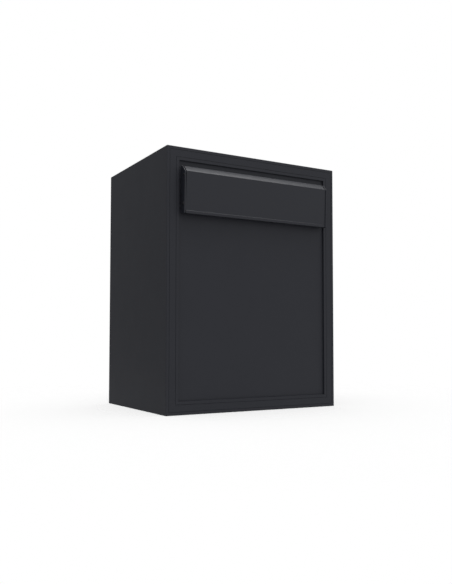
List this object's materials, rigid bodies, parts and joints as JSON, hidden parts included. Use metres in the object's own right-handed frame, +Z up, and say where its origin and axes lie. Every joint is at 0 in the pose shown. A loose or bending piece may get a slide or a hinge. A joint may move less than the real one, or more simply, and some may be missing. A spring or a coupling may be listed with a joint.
{
  "type": "parcel drop box",
  "caption": "Steel parcel drop box with a tilting hopper behind a wide drop flap, an anti-theft guard and a lockable rear retrieval door.",
  "frame": {"origin": "centre of the casing's bottom face, half-way between its front and rear planes", "axes": "+Z up, +X to the right seen from the front, +Y from the drop flap at the front to the retrieval door at the rear"},
  "size_m": [0.425, 0.348, 0.55],
  "materials": {
    "anthracite_steel": "anthracite fine-texture powder coat, matt",
    "anthracite_flap": "anthracite powder coat, satin",
    "zinc_steel": "bright zinc plated",
    "black_zinc": "black zinc plated",
    "black_rubber": "moulded EPDM rubber",
    "nylon": "natural nylon",
    "lock_nickel": "nickel plated",
    "lock_brass": "machined brass"
  },
  "bodies": {
    "cabinet": {"casing": "anthracite_steel", "front_frame": "anthracite_steel", "front_panel": "anthracite_steel", "frame_studs": "zinc_steel", "frame_nuts": "zinc_steel", "opening_seal": "black_rubber", "hopper_side_left": "anthracite_steel", "hopper_side_right": "anthracite_steel", "side_rivets": "anthracite_steel", "shaft_bushes": "nylon", "anti_theft_guard": "anthracite_steel", "stop_pins": "zinc_steel", "stop_sleeves": "black_rubber", "rear_frame": "anthracite_steel", "door_seal": "black_rubber", "door_pivot_plates": "anthracite_steel", "door_pivot_pins": "zinc_steel", "floor_mat": "black_rubber"},
    "hopper": {"flap_profile": "anthracite_flap", "flap_end_left": "anthracite_flap", "flap_end_right": "anthracite_flap", "end_cap_screws": "black_zinc", "hopper_tray": "anthracite_steel", "hopper_cheek_left": "anthracite_steel", "hopper_cheek_right": "anthracite_steel", "tray_edge_trim": "black_rubber", "tray_rivets": "zinc_steel", "hopper_shaft": "zinc_steel", "shaft_clips": "zinc_steel"},
    "door": {"rear_door": "anthracite_steel", "door_stiffener": "anthracite_steel", "door_pivot_bushes": "nylon", "lock_barrel": "lock_nickel", "lock_nut": "zinc_steel", "cover_pin": "lock_nickel"},
    "lock": {"lock_plug": "lock_brass", "lock_cam": "zinc_steel", "cam_screw": "zinc_steel"},
    "key_cover": {"keyhole_cover": "lock_nickel"}
  },
  "joints": [
    {"name": "hopper_tilt", "type": "hinge", "parent": "cabinet", "child": "hopper", "pos_m": [0, -0.17, 0.4195], "axis": [1, 0, 0], "range_deg": [0, 45]},
    {"name": "door_swing", "type": "hinge", "parent": "cabinet", "child": "door", "pos_m": [-0.201, 0.153, 0.275], "axis": [0, 0, 1], "range_deg": [0, 105]},
    {"name": "lock_turn", "type": "hinge", "parent": "door", "child": "lock", "pos_m": [0.172, 0.15, 0.275], "axis": [0, 1, 0], "range_deg": [0, 90]},
    {"name": "cover_swivel", "type": "hinge", "parent": "door", "child": "key_cover", "pos_m": [0.172, 0.1625, 0.29], "axis": [0, 1, 0], "range_deg": [-110, 110]}
  ]
}
